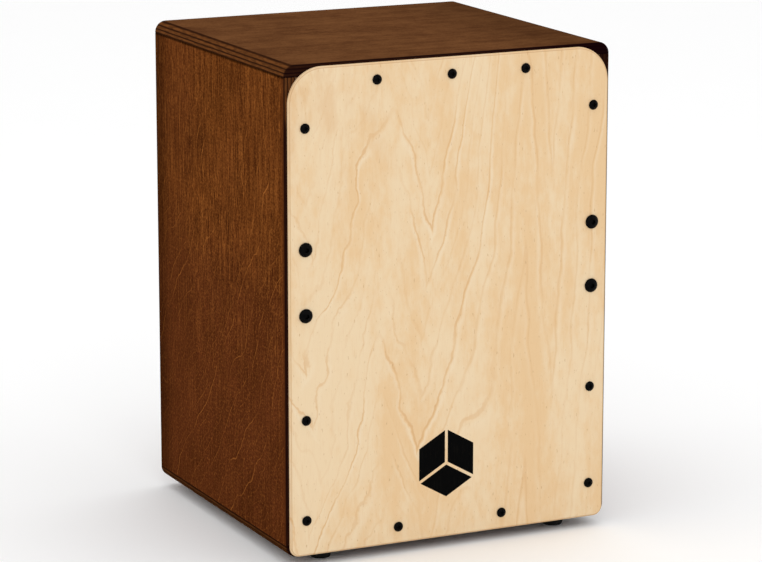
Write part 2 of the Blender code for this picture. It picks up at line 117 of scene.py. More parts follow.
# Feet
FOOT_STEPS = 64
FOOT_RIM = 0.0023
FOOT_RIM_EASE = 0.0004
FOOT_STEP = 0.0005
FOOT_STEP_BASE = 0.0030
FOOT_TAPER = 0.0035
FOOT_ROUNDING = 0.002
FOOT_RECESS = 0.0053
FOOT_RECESS_RADIUS = 0.0056
FOOT_RECESS_EASE = 0.0007

# Snares
SNARE_PLATE = 0.0012
SNARE_PLATE_HEIGHT = 0.018
SNARE_PLATE_CORNER = 0.002
SNARE_WIRES = 10
SNARE_WIRE_PITCH = 0.0056
COIL_RADIUS = 0.0011
COIL_WIRE = 0.0002
COIL_PITCH = 0.0016
COIL_TURN_STEPS = 8
COIL_TOP_GAP = 0.0004

# Emblem
EMBLEM_AT = (-0.004, 0.079)
EMBLEM_SIZE = 0.033
EMBLEM_GAP = 0.0016
INK_THICKNESS = 0.00006
INK_SINK = 0.00001

# Colours
STAIN_AMBER = (0.150, 0.043, 0.008)
# Red stain; also the tint of the painted shade near a side panel's front and back edges
STAIN_RED_AND_SHADE = (0.112, 0.029, 0.008)
STAIN_DEEP = (0.038, 0.009, 0.002)
STAIN_PALE = (0.370, 0.125, 0.026)
TOP_LIGHT = (0.150, 0.061, 0.022)
TOP_DARK = (0.082, 0.030, 0.011)
EDGE_LIGHT = (0.150, 0.052, 0.014)
EDGE_DARK = (0.085, 0.030, 0.009)
EDGE_GLUE = (0.016, 0.005, 0.003)
FRONT_EDGE = (0.005, 0.001, 0.002)
RAW_LIGHT = (0.62, 0.45, 0.26)
RAW_DARK = (0.44, 0.28, 0.14)
BIRCH_BASE = (0.745, 0.525, 0.300)
BIRCH_PALE = (0.775, 0.605, 0.395)
BIRCH_WHITE = (0.800, 0.660, 0.470)
BIRCH_TAN = (0.620, 0.345, 0.145)
BIRCH_FLECK = (0.50, 0.300, 0.150)
STEEL_DARK = (0.0010, 0.0010, 0.0010)
STEEL_LIGHT = (0.0030, 0.0026, 0.0026)
ZINC_DARK = (0.42, 0.42, 0.43)
ZINC_LIGHT = (0.62, 0.62, 0.61)
RUBBER_DARK = (0.006, 0.006, 0.006)
RUBBER_DUSTY = (0.016, 0.015, 0.014)
INK_DARK = (0.003, 0.003, 0.003)
INK_LIGHT = (0.008, 0.007, 0.006)
FLOOR_DARK = (0.95, 0.95, 0.95)
FLOOR_LIGHT = (0.96, 0.96, 0.96)

# Where tones set in: two distances in metres from an edge, negative below it
END_PLY_EDGE = (0.00005, 0.0003)
END_FRONT_EDGE = (0.0006, 0.0028)
SIDE_FRONT_EDGE = (0.0006, 0.0024)
SIDE_BACK_EDGE = (-0.0022, -0.0004)
# Painted shade on a side panel's face: redder and darker towards its front edge, beside the playing surface
SIDE_FRONT_RED_SHADE = (0.010, 0.001)
SIDE_FRONT_SHADE = (0.007, 0.0005)
# Painted shade on a side panel's face: redder and darker towards its back edge, darkest right at it
SIDE_BACK_RED_SHADE = (-0.110, -0.050)
SIDE_BACK_SHADE = (-0.042, -0.002)
# Painted shadow in the seam under the top panel
SIDE_TOP_SHADE = (-0.0022, -0.0004)
SIDE_TOP_CORNER = (-0.050, -0.022)
BATTEN_STAIN = (0.001, 0.003)

# Raw inside: how far it stops short of the cavity's rim, and how deep it reaches into a panel
RIM_MARGIN = 0.0004
FACE_MARGIN = 0.0002

# Relief depths
STAIN_RELIEF = 0.00012
BIRCH_RELIEF = 0.00008
RAW_RELIEF = 0.00015
STEEL_RELIEF = 0.00003
ZINC_RELIEF = 0.00002
RUBBER_RELIEF = 0.00006
INK_RELIEF = 0.00004

# Birch figure: where its three upright figures stand, its rings a metre, and the height
# from which their rise is counted
FIGURE_MIDDLE = -0.026
FIGURE_LEFT = -0.140
FIGURE_RIGHT = 0.101
FIGURE_RINGS = 66.0
FIGURE_HEIGHT = 0.270


# ---------------------------------------------------------------- shader graphs

class Graph:
    """A material's node graph. Inputs are numbers, colours, vectors or other sockets."""

    def __init__(self, name):
        self.material = bpy.data.materials.new(name)
        self.material.use_nodes = True
        self.tree = self.material.node_tree
        self.shader = self.tree.nodes["Principled BSDF"]
        place = self.tree.nodes.new("ShaderNodeTexCoord").outputs["Object"]
        self.place = place
        split = self.tree.nodes.new("ShaderNodeSeparateXYZ")
        self.tree.links.new(place, split.inputs[0])
        self.x, self.y, self.z = split.outputs

    def feed(self, socket, value):
        if isinstance(value, bpy.types.NodeSocket):
            self.tree.links.new(value, socket)
        elif value is not None:
            wide = socket.type == "RGBA" and len(value) == 3
            socket.default_value = (*value, 1.0) if wide else value

    def maths(self, kind, a, b=None, clamp=False):
        node = self.tree.nodes.new("ShaderNodeMath")
        node.operation = kind
        node.use_clamp = clamp
        self.feed(node.inputs[0], a)
        self.feed(node.inputs[1], b)
        return node.outputs[0]

    def add(self, *values):
        total = values[0]
        for value in values[1:]:
            total = self.maths("ADD", total, value)
        return total

    def times(self, *values):
        total = values[0]
        for value in values[1:]:
            total = self.maths("MULTIPLY", total, value)
        return total

    def less(self, a, b):
        return self.maths("SUBTRACT", a, b)

    def vector(self, x, y, z):
        node = self.tree.nodes.new("ShaderNodeCombineXYZ")
        for socket, value in zip(node.inputs, (x, y, z)):
            self.feed(socket, value)
        return node.outputs[0]

    def noise(self, vector, scale=1.0, detail=2.0, roughness=0.5, distortion=0.0):
        node = self.tree.nodes.new("ShaderNodeTexNoise")
        self.feed(node.inputs["Vector"], vector)
        self.feed(node.inputs["Scale"], scale)
        self.feed(node.inputs["Detail"], detail)
        self.feed(node.inputs["Roughness"], roughness)
        self.feed(node.inputs["Distortion"], distortion)
        return node.outputs["Fac"]

    def stretched(self, first, second, first_scale, second_scale, seed, **kind):
        """Noise over two coordinates, each with its own scale."""
        here = self.vector(self.times(first, first_scale), self.times(second, second_scale), seed)
        return self.noise(here, **kind)

    def span(self, value, low, high, out_low=0.0, out_high=1.0, smooth=True):
        node = self.tree.nodes.new("ShaderNodeMapRange")
        node.interpolation_type = "SMOOTHSTEP" if smooth else "LINEAR"
        for socket, number in zip(node.inputs, (value, low, high, out_low, out_high)):
            self.feed(socket, number)
        return node.outputs[0]

    def near(self, value, edge, reach, *outputs):
        """A span whose ends are the two distances in reach, counted from an edge."""
        return self.span(value, edge + reach[0], edge + reach[1], *outputs)

    def mix(self, amount, a, b):
        node = self.tree.nodes.new("ShaderNodeMix")
        node.data_type = "RGBA"
        self.feed(node.inputs[0], amount)
        self.feed(node.inputs[6], a)
        self.feed(node.inputs[7], b)
        return node.outputs[2]

    def smooth_least(self, a, b, distance):
        node = self.tree.nodes.new("ShaderNodeMath")
        node.operation = "SMOOTH_MIN"
        for socket, value in zip(node.inputs, (a, b, distance)):
            self.feed(socket, value)
        return node.outputs[0]

    def chance(self, number):
        """A fixed random number for each whole number."""
        node = self.tree.nodes.new("ShaderNodeTexWhiteNoise")
        node.noise_dimensions = "1D"
        self.feed(node.inputs["W"], number)
        return node.outputs["Value"]

    def scaled(self, colour, factor):
        """A colour multiplied by a number."""
        node = self.tree.nodes.new("ShaderNodeVectorMath")
        node.operation = "SCALE"
        self.feed(node.inputs[0], colour)
        self.feed(node.inputs["Scale"], factor)
        return node.outputs[0]

    def finish(self, colour, roughness, height=None, depth=0.0001, metallic=0.0):
        self.feed(self.shader.inputs["Base Color"], colour)
        self.feed(self.shader.inputs["Roughness"], roughness)
        self.shader.inputs["Metallic"].default_value = metallic
        if height is not None:
            bump = self.tree.nodes.new("ShaderNodeBump")
            bump.inputs["Distance"].default_value = depth
            self.feed(bump.inputs["Height"], height)
            self.tree.links.new(bump.outputs[0], self.shader.inputs["Normal"])
        return self.material


def figure_lines(graph, field, width, seed):
    """Thin contour lines of a field, each with its own strength; also a soft band beside them."""
    phase = graph.maths("FRACT", field)
    number = graph.maths("FLOOR", field)
    chance = graph.chance(graph.add(number, seed))
    strength = graph.span(graph.times(chance, chance), 0.0, 1.0, 0.22, 1.0)
    line = graph.span(graph.maths("ABSOLUTE", graph.less(phase, 0.5)), width * 0.3, width, 1.0, 0.0)
    rise = graph.span(phase, 0.5 + width, 0.5 + 2 * width)
    band = graph.times(rise, graph.span(phase, 0.62, 0.92, 1.0, 0.0))
    return graph.times(line, strength), graph.times(band, strength)


def stained_face(graph, across, along, middle, lean, seed):
    """Brown-stained veneer: short flecks along the grain, blotches and thin pale ring lines.

    The rings stand upright at the top, and lean over from a little above the middle down.
    """
    here = graph.vector(across, along, seed)
    low = graph.span(along, middle - 0.10, middle + 0.09, 1.0, 0.0)
    drop = graph.maths("MAXIMUM", graph.less(middle + 0.06, along), 0.0)
    sway = graph.stretched(across, along, 9, 7, seed, detail=2)
    wiggle = graph.stretched(across, along, 70, 60, seed + 2, detail=3)
    shift = graph.add(graph.times(graph.less(sway, 0.5), 0.11), graph.times(graph.less(wiggle, 0.5), 0.007))
    ring = graph.add(across, graph.times(drop, -lean), shift)
    line, band = figure_lines(graph, graph.times(ring, 78), 0.042, seed)
    broken = graph.span(graph.noise(here, scale=34, detail=4, roughness=0.6), 0.38, 0.56, 0.15, 1.0)

    fleck = graph.stretched(across, along, 480, 85, seed, detail=4, roughness=0.7)
    thread = graph.stretched(across, along, 520, 13, seed + 6, detail=3, roughness=0.7)
    patch = graph.span(graph.stretched(across, along, 16, 6, seed + 4), 0.35, 0.62, 0.35, 1.0)
    streak = graph.stretched(across, along, 210, 9, seed + 5, detail=3, roughness=0.7)
    speck = graph.noise(here, scale=420, detail=3, roughness=0.8)
    upper = graph.less(1.0, graph.times(low, 0.65))
    blotch = graph.noise(here, scale=16, detail=5, roughness=0.62)
    cloud = graph.stretched(across, along, 5, 4, seed + 8, detail=2)

    redness = graph.span(graph.add(cloud, graph.times(low, 0.75)), 0.3, 0.95)
    shade = graph.mix(redness, STAIN_AMBER, STAIN_RED_AND_SHADE)
    depth = graph.span(graph.add(graph.times(blotch, 0.6), graph.times(streak, 0.4)), 0.38, 0.66)
    shade = graph.mix(graph.times(depth, 0.6), shade, STAIN_DEEP)
    shade = graph.mix(graph.times(graph.span(thread, 0.51, 0.66), upper, 0.42), shade, STAIN_PALE)
    shade = graph.mix(graph.times(graph.span(thread, 0.49, 0.36), upper, 0.62), shade, STAIN_DEEP)
    shade = graph.mix(graph.times(graph.span(fleck, 0.52, 0.70), patch, upper, 0.7), shade, STAIN_PALE)
    shade = graph.mix(graph.times(graph.span(fleck, 0.48, 0.34), patch, upper, 0.85), shade, STAIN_DEEP)
    shade = graph.mix(graph.span(speck, 0.50, 0.66, 0.0, 0.7), shade, STAIN_DEEP)
    shade = graph.mix(graph.span(speck, 0.48, 0.32, 0.0, 0.35), shade, STAIN_PALE)
    shade = graph.mix(graph.times(line, broken, 0.8), shade, STAIN_PALE)
    shade = graph.mix(graph.times(band, broken, 0.22), shade, STAIN_DEEP)
    relief = graph.add(graph.times(fleck, 0.6), graph.times(streak, 0.3), graph.times(line, 0.1))
    return shade, relief


def ply_edge(graph, depth, along, seed):
    """A stained plywood edge, fine-grained with dark glue lines between its plies; also its grain."""
    fine = graph.stretched(along, depth, 90, 700, seed, detail=3)
    wander = graph.noise(graph.vector(graph.times(along, 25), seed, 0.0))
    here = graph.add(depth, graph.times(graph.less(wander, 0.5), 0.0003))
    shade = graph.mix(graph.span(fine, 0.35, 0.65), EDGE_DARK, EDGE_LIGHT)
    for line in GLUE_LINES:
        gap = graph.maths("ABSOLUTE", graph.less(here, line))
        shade = graph.mix(graph.span(gap, 0.0002, 0.0011, 0.85, 0.0), shade, EDGE_GLUE)
    return shade, fine


def raw_face(graph, across, along, seed):
    """Unfinished pale wood, as the inside of the box shows it."""
    streak = graph.stretched(across, along, 160, 5, seed, detail=3)
    fibre = graph.stretched(across, along, 900, 40, seed + 2, detail=2)
    tone = graph.add(graph.times(streak, 0.7), graph.times(fibre, 0.3))
    return graph.mix(graph.span(tone, 0.35, 0.65), RAW_DARK, RAW_LIGHT)


def inside(graph, limits):
    """One inside the cavity and zero outside; limits are (socket, low, high)."""
    amount = 1.0
    for socket, low, high in limits:
        above = graph.maths("GREATER_THAN", socket, low)
        amount = graph.times(amount, above, graph.maths("LESS_THAN", socket, high))
    return amount


def raw_inside(graph, shade, inner, depth, front, *limits):
    """Raw wood in the cavity behind a panel's front edge, and the given shade elsewhere."""
    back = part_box("back_panel")[0].y - RIM_MARGIN
    reach = (graph.y, front + RIM_MARGIN, back)
    cavity = inside(graph, (*limits, reach, (depth, PANEL - FACE_MARGIN, 1.0)))
    return graph.mix(cavity, shade, inner)


def matte(graph):
    """Open-pored stain takes next to no gloss."""
    graph.shader.inputs["Specular IOR Level"].default_value = 0.0


def end_panel_material(name, top):
    """Top or bottom panel: veneer with its grain along X, ply edges all round, raw inside."""
    graph = Graph(name)
    low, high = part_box("top_panel" if top else "bottom_panel")
    depth = graph.less(high.z, graph.z) if top else graph.less(graph.z, low.z)
    seed = 2.0 if top else 6.0
    here = graph.vector(graph.x, graph.y, seed)
    streak = graph.stretched(graph.x, graph.y, 9, 110, seed, detail=4, roughness=0.6)
    fleck = graph.stretched(graph.x, graph.y, 90, 420, seed + 1, detail=3)
    blotch = graph.noise(here, scale=22, detail=5, roughness=0.65)
    grit = graph.noise(here, scale=420, detail=2, roughness=0.7)
    tone = graph.add(graph.times(streak, 0.22), graph.times(fleck, 0.22),
                     graph.times(blotch, 0.34), graph.times(grit, 0.22))
    face = graph.mix(graph.span(tone, 0.39, 0.61), TOP_DARK, TOP_LIGHT)
    edge, fine = ply_edge(graph, depth, graph.add(graph.y, graph.x), 4.0)
    # Painted shade: the bottom panel's ply edges are darker than the top panel's
    edge = graph.scaled(edge, 1.0 if top else 0.68)
    amount = graph.span(depth, *END_PLY_EDGE)
    shade = graph.mix(amount, face, edge)
    relief = graph.add(tone, graph.times(fine, amount))
    front = graph.near(graph.y, low.y, END_FRONT_EDGE, 1.0, 0.0)
    # Painted shade: the panel darkens towards its right end
    shade = graph.scaled(shade, graph.span(graph.x, 0.04, high.x - 0.012, 1.0, 0.72))
    strength = graph.span(graph.x, 0.0, high.x, 0.86, 0.97)
    shade = graph.mix(graph.times(front, strength), shade, FRONT_EDGE)
    inner = raw_face(graph, graph.y, graph.x, 1.0)
    side = high.x - PANEL - RIM_MARGIN
    shade = raw_inside(graph, shade, inner, depth, low.y, (graph.x, -side, side))
    matte(graph)
    return graph.finish(shade, graph.span(tone, 0.3, 0.7, 0.5, 0.6), relief, STAIN_RELIEF)


def side_panel_material(name, side):
    """Side panel: upright grain outside, darker with painted shade towards its front, back and top edges,
    raw inside, plies at the ends.
    """
    graph = Graph(name)
    low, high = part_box("right_side_panel" if side > 0 else "left_side_panel")
    depth = graph.less(high.x, graph.x) if side > 0 else graph.less(graph.x, low.x)
    middle = (low.z + high.z) / 2
    face, relief = stained_face(graph, graph.y, graph.z, middle, 0.75, 11.0 if side > 0 else 0.0)
    # Painted shade: the face turns redder, then darker, towards the front edge beside the playing surface
    face = graph.mix(graph.near(graph.y, low.y, SIDE_FRONT_RED_SHADE, 0.0, 0.7), face, STAIN_RED_AND_SHADE)
    face = graph.scaled(face, graph.near(graph.y, low.y, SIDE_FRONT_SHADE, 1.0, 0.55))
    # Painted shade: redder and slightly darker towards the back edge, and much darker right at it
    toward_back = graph.near(graph.y, high.y, SIDE_BACK_RED_SHADE)
    face = graph.mix(graph.times(toward_back, 0.2), face, STAIN_RED_AND_SHADE)
    face = graph.scaled(face, graph.span(toward_back, 0.0, 1.0, 1.0, 0.94))
    back_shade = graph.near(graph.y, high.y, SIDE_BACK_SHADE, 1.0, 0.5)
    # Painted shadow: the face darkens in the seam under the top panel
    top_shade = graph.near(graph.z, high.z, SIDE_TOP_SHADE, 1.0, 0.3)
    face = graph.scaled(face, graph.times(back_shade, top_shade))
    edge, _ = ply_edge(graph, depth, graph.z, 8.0)
    front = graph.near(graph.y, low.y, SIDE_FRONT_EDGE, 1.0, 0.0)
    back = graph.near(graph.y, high.y, SIDE_BACK_EDGE)
    shade = graph.mix(graph.add(front, back), face, edge)
    dark = graph.near(graph.z, high.z, SIDE_TOP_CORNER, 0.85, 0.85 if side > 0 else 0.15)
    shade = graph.mix(graph.times(front, dark), shade, FRONT_EDGE)
    inner = raw_face(graph, graph.y, graph.z, 3.0)
    shade = raw_inside(graph, shade, inner, depth, low.y)
    matte(graph)
    return graph.finish(shade, graph.span(relief, 0.3, 0.9, 0.5, 0.62), relief, STAIN_RELIEF)


def back_panel_material():
    """Back panel: stained outside, raw inside, plies inside the sound hole."""
    graph = Graph("back_panel_stained")
    low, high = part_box("back_panel")
    depth = graph.less(high.y, graph.y)
    face, relief = stained_face(graph, graph.x, graph.z, 0.2, -0.6, 21.0)
    inner = raw_face(graph, graph.x, graph.z, 5.0)
    edge, _ = ply_edge(graph, graph.times(depth, 2.0), graph.z, 3.0)
    shade = graph.mix(graph.span(depth, 0.0008, 0.0011), face, edge)
    thick = high.y - low.y
    shade = graph.mix(graph.span(depth, thick - 0.0004, thick - 0.0002), shade, inner)
    matte(graph)
    return graph.finish(shade, graph.span(relief, 0.3, 0.9, 0.5, 0.62), relief, STAIN_RELIEF)


def birch_figure(graph):
    """The field whose contours are the birch's rings, and how clearly they show.

    Three upright figures stand side by side: a wide V left of the middle, one near the left
    edge and a narrow finger near the right edge. Rings run steeper towards the right, and
    fade where the two figures on the left meet.
    """
    x, z = graph.x, graph.z
    sway = graph.stretched(x, z, 13, 8, 4.0, detail=2, roughness=0.5)
    wiggle = graph.stretched(x, z, 60, 42, 7.0, detail=3, roughness=0.55)
    swing = graph.span(x, -0.10, 0.06, 0.060, 0.026)
    tremble = graph.span(x, -0.10, 0.06, 0.014, 0.004)
    bent = graph.add(x, graph.times(graph.less(sway, 0.5), swing),
                     graph.times(graph.less(wiggle, 0.5), tremble))
    main = graph.maths("ABSOLUTE", graph.less(bent, FIGURE_MIDDLE))
    left = graph.add(graph.maths("ABSOLUTE", graph.less(bent, FIGURE_LEFT)), -0.036)
    right = graph.add(graph.maths("ABSOLUTE", graph.less(bent, FIGURE_RIGHT)), 0.073)
    nearest = graph.smooth_least(graph.smooth_least(main, left, 0.034), right, 0.012)
    rise = graph.span(x, 0.0, 0.06, 20.0, 5.0)
    height = graph.times(graph.less(z, FIGURE_HEIGHT), rise)
    field = graph.less(graph.times(nearest, FIGURE_RINGS), height)
    beside = graph.maths("ABSOLUTE", graph.less(main, left))
    return field, graph.span(beside, 0.004, 0.036, 0.15, 1.0)


def birch_material():
    """The playing surface: pale birch with cathedral figure, soft streaks and fine pores."""
    graph = Graph("birch_veneer_lacquered")
    low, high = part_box("playing_surface")
    x, y, z = graph.x, graph.y, graph.z
    field, clear = birch_figure(graph)
    line, band = figure_lines(graph, field, 0.085, 3.0)
    patch = graph.stretched(x, z, 30, 13, 1.0, detail=3)
    plain = graph.times(graph.span(x, 0.05, 0.12, 0.0, 0.6), graph.span(z, 0.22, 0.10))
    fade = graph.times(graph.span(patch, 0.36, 0.6, 0.25, 1.0), clear, graph.less(1.0, plain))
    broad = graph.stretched(x, z, 20, 4, 9.0, detail=4, roughness=0.6)
    mottle = graph.stretched(x, z, 120, 55, 5.0, detail=3, roughness=0.6)
    fibre = graph.stretched(x, z, 900, 60, 6.0, detail=3, roughness=0.6)
    pores = graph.stretched(x, z, 700, 190, 3.0, detail=2)
    right = graph.span(x, low.x, high.x, 0.0, 0.09, smooth=False)
    warmth = graph.span(graph.less(graph.add(broad, graph.times(mottle, 0.45)), right), 0.53, 0.83)
    shade = graph.mix(warmth, BIRCH_BASE, BIRCH_PALE)
    shade = graph.mix(graph.times(band, fade, 0.75), shade, BIRCH_WHITE)
    shade = graph.mix(graph.times(line, fade, 0.6), shade, BIRCH_TAN)
    corner = graph.times(graph.span(x, -0.03, -0.11), graph.span(z, 0.29, 0.40))
    cloud = graph.stretched(x, z, 48, 18, 12.0, detail=4, roughness=0.6)
    shade = graph.mix(graph.times(corner, graph.span(cloud, 0.42, 0.66, 0.0, 0.30)), shade, BIRCH_TAN)
    shade = graph.mix(graph.span(fibre, 0.52, 0.8, 0.0, 0.25), shade, BIRCH_TAN)
    shade = graph.mix(graph.span(pores, 0.66, 0.74, 0.0, 0.6), shade, BIRCH_FLECK)
    depth = graph.less(y, low.y)
    shade = graph.mix(graph.span(depth, 0.0002, 0.0007, 0.0, 0.16), shade, BIRCH_TAN)
    for glue in TAPA_GLUE_LINES:
        gap = graph.maths("ABSOLUTE", graph.less(depth, glue))
        shade = graph.mix(graph.span(gap, 0.00010, 0.00024, 0.6, 0.0), shade, BIRCH_FLECK)
    matte(graph)
    relief = graph.add(graph.times(mottle, 0.3), graph.times(fibre, 0.5), graph.times(pores, -0.5))
    return graph.finish(shade, graph.span(fibre, 0.3, 0.7, 0.42, 0.52), relief, BIRCH_RELIEF)


def raw_wood_material(name, along, seed):
    """Softwood strips: pale with brown ring lines, stained in front; along is the grain's axis."""
    graph = Graph(name)
    axes = {"x": graph.x, "y": graph.y, "z": graph.z}
    length = axes.pop(along)
    first, second = axes.values()
    bend = graph.stretched(first, length, 20, 3, seed, detail=2)
    rings = graph.add(graph.times(first, 330), graph.times(second, 210), graph.times(bend, 5))
    wave = graph.maths("FRACT", rings)
    late = graph.span(wave, 0.55, 0.97)
    fibre = graph.stretched(first, second, 800, 800, graph.times(length, 30))
    shade = graph.mix(graph.times(late, 0.55), RAW_LIGHT, RAW_DARK)
    shade = graph.mix(graph.span(fibre, 0.45, 0.75, 0.0, 0.35), shade, RAW_DARK)
    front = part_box("left_side_panel")[0].y
    shade = graph.mix(graph.near(graph.y, front, BATTEN_STAIN, 0.85, 0.0), shade, EDGE_LIGHT)
    return graph.finish(shade, 0.68, fibre, RAW_RELIEF)


def black_metal_material():
    """Black-coated steel with a slightly uneven sheen."""
    graph = Graph("black_coated_steel")
    cloud = graph.noise(graph.place, scale=420, detail=4, roughness=0.6)
    shade = graph.mix(graph.span(cloud, 0.4, 0.7), STEEL_DARK, STEEL_LIGHT)
    graph.shader.inputs["Specular IOR Level"].default_value = 0.035
    return graph.finish(shade, graph.span(cloud, 0.3, 0.7, 0.26, 0.38), cloud, STEEL_RELIEF)


def zinc_material():
    """Zinc-plated steel with a fine grain."""
    graph = Graph("zinc_plated_steel")
    grain = graph.noise(graph.place, scale=900, detail=3)
    shade = graph.mix(graph.span(grain, 0.35, 0.7), ZINC_DARK, ZINC_LIGHT)
    return graph.finish(shade, graph.span(grain, 0.3, 0.7, 0.25, 0.4), grain, ZINC_RELIEF, 1.0)


def rubber_material():
    """Matte black rubber, faintly dusty."""
    graph = Graph("black_rubber")
    fine = graph.noise(graph.place, scale=1400, detail=2)
    dust = graph.noise(graph.place, scale=180, detail=3)
    shade = graph.mix(graph.span(dust, 0.5, 0.8), RUBBER_DARK, RUBBER_DUSTY)
    graph.shader.inputs["Specular IOR Level"].default_value = 0.15
    return graph.finish(shade, graph.span(fine, 0.3, 0.7, 0.6, 0.75), fine, RUBBER_RELIEF)


def ink_material():
    """Black screen print on the playing surface; the wood's fibres show faintly in its sheen."""
    graph = Graph("printed_ink")
    fibre = graph.noise(graph.vector(graph.times(graph.x, 1300), 0.0, graph.times(graph.z, 60)), detail=2)
    shade = graph.mix(graph.span(fibre, 0.55, 0.8), INK_DARK, INK_LIGHT)
    matte(graph)
    return graph.finish(shade, graph.span(fibre, 0.3, 0.7, 0.42, 0.55), fibre, INK_RELIEF)


# ---------------------------------------------------------------- shapes

def arc(centre_x, centre_y, radius, start, end, steps):
    """Points on an arc from start to end degrees, both ends included."""
    points = []
    for step in range(steps + 1):
        angle = math.radians(start + (end - start) * step / steps)
        points.append((centre_x + radius * math.cos(angle), centre_y + radius * math.sin(angle)))
    return points


def loft(rings, cyclic=False):
    """A closed solid through rings of equally many points; its ends are flat faces."""
    mesh = bmesh.new()
    rows = [[mesh.verts.new(point) for point in ring] for ring in rings]
    pairs = list(zip(rows, rows[1:]))
    if cyclic:
        pairs.append((rows[-1], rows[0]))
    else:
        mesh.faces.new(rows[0])
        mesh.faces.new(rows[-1])
    count = len(rows[0])
    for row, following in pairs:
        for index in range(count):
            after = (index + 1) % count
            mesh.faces.new((row[index], row[after], following[after], following[index]))
    bmesh.ops.recalc_face_normals(mesh, faces=mesh.faces)
    return mesh


def lathe(profile, steps, closed=False):
    """A solid turned about Z from (radius, height) points; a closed profile makes a ring."""
    mesh = bmesh.new()
    points = [mesh.verts.new((radius, 0.0, height)) for radius, height in profile]
    pairs = list(zip(points, points[1:]))
    if closed:
        pairs.append((points[-1], points[0]))
    edges = [mesh.edges.new(pair) for pair in pairs]
    bmesh.ops.spin(mesh, geom=points + edges, cent=(0, 0, 0), axis=(0, 0, 1),
                   angle=2 * math.pi, steps=steps, use_merge=True)
    bmesh.ops.remove_doubles(mesh, verts=mesh.verts, dist=1e-7)
    bmesh.ops.recalc_face_normals(mesh, faces=mesh.faces)
    return mesh


def eased(start, end, radius, steps=6):
    """(place, inset) pairs along a length whose two ends are rounded over by radius."""
    ends = []
    for step in range(steps + 1):
        angle = math.radians(90 * step / steps)
        ends.append((radius * (1 - math.cos(angle)), radius * (1 - math.sin(angle))))
    sign = 1 if end > start else -1
    first = [(start + sign * shift, inset) for shift, inset in ends]
    last = [(end - sign * shift, inset) for shift, inset in reversed(ends)]
    return first + last


def show(name, mesh, look, node, angle=30):
    """Add a visible piece that rides with the body; it stands for a CAD node if one is given."""
    data = bpy.data.meshes.new(name)
    mesh.to_mesh(data)
    mesh.free()
    data.materials.append(look)
    data.shade_smooth()
    data.set_sharp_from_angle(angle=math.radians(angle))
    piece = bpy.data.objects.new(name, data)
    bpy.context.scene.collection.objects.link(piece)
    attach(piece, "root")
    if node is not None:
        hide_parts(node)
    return piece


def cut(mesh, tool):
    """The first mesh with the second one cut out of it."""
    objects = []
    for source in (mesh, tool):
        data = bpy.data.meshes.new("cut")
        source.to_mesh(data)
        source.free()
        made = bpy.data.objects.new("cut", data)
        bpy.context.scene.collection.objects.link(made)
        objects.append(made)
    body, cutter = objects
    step = body.modifiers.new("cut", "BOOLEAN")
    step.operation = "DIFFERENCE"
    step.solver = "EXACT"
    step.object = cutter
    graph = bpy.context.evaluated_depsgraph_get()
    result = bpy.data.meshes.new_from_object(body.evaluated_get(graph))
    left = bmesh.new()
    left.from_mesh(result)
    for item in objects:
        data = item.data
        bpy.data.objects.remove(item)
        bpy.data.meshes.remove(data)
    bpy.data.meshes.remove(result)
    return left


def join(meshes):
    """Several separate solids in one mesh."""
    whole = bmesh.new()
    for mesh in meshes:
        part = bpy.data.meshes.new("part")
        mesh.to_mesh(part)
        mesh.free()
        whole.from_mesh(part)
        bpy.data.meshes.remove(part)
    return whole


def moved(mesh, matrix):
    """The mesh itself, moved by a matrix."""
    bmesh.ops.transform(mesh, matrix=matrix, verts=mesh.verts)
    return mesh


def prism(outline, low, high, taper=1.0):
    """A solid with a flat outline in XY, from low to high in Z; taper scales the low end."""
    bottom = [(x * taper, y * taper, low) for x, y in outline]
    return loft([bottom, [(x, y, high) for x, y in outline]])


def drill(radius, place):
    """A long round cutter along Y through a place."""
    mesh = lathe([(0, -DRILL_REACH), (radius, -DRILL_REACH), (radius, DRILL_REACH), (0, DRILL_REACH)],
                 DRILL_STEPS)
    return moved(mesh, Matrix.Translation(place) @ Matrix.Rotation(math.pi / 2, 4, "X"))


# ---------------------------------------------------------------- shell

def notched_arc(centre_x, inset, start, end):
    """An arc of the panel's long edge, with a fine groove where each glue line comes out."""
    steps = LONG_EDGE_STEPS
    stops = [(start + (end - start) * step / steps, 0.0) for step in range(steps + 1)]
    for line in GLUE_LINES:
        for shift, groove in ((-GLUE_HALF, 0.0), (0.0, GLUE_DEPTH), (GLUE_HALF, 0.0)):
            rise = math.degrees(math.asin((PANEL - line + shift) / PANEL))
            stops.append((rise if start < 90 else 180 - rise, groove if inset == 0 else 0.0))
    stops.sort()
    points = []
    for degrees, groove in stops:
        angle = math.radians(degrees)
        reach = PANEL - inset - groove
        points.append((centre_x + reach * math.cos(angle), reach * math.sin(angle)))
    return points


def end_panel(node, look, over):
    """Top panel (over is 1) or bottom panel (over is -1) with rounded, grooved long edges."""
    low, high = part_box(node)
    inner_x = high.x - PANEL
    inner_z = low.z if over > 0 else high.z
    rings = []
    for y, inset in eased(low.y, high.y, EASE):
        outline = notched_arc(inner_x, inset, 0, 90) + notched_arc(-inner_x, inset, 90, 180)
        rings.append([(x, y, inner_z + over * z) for x, z in outline])
    return show(f"{node}_ply", loft(rings), look, node, 25)


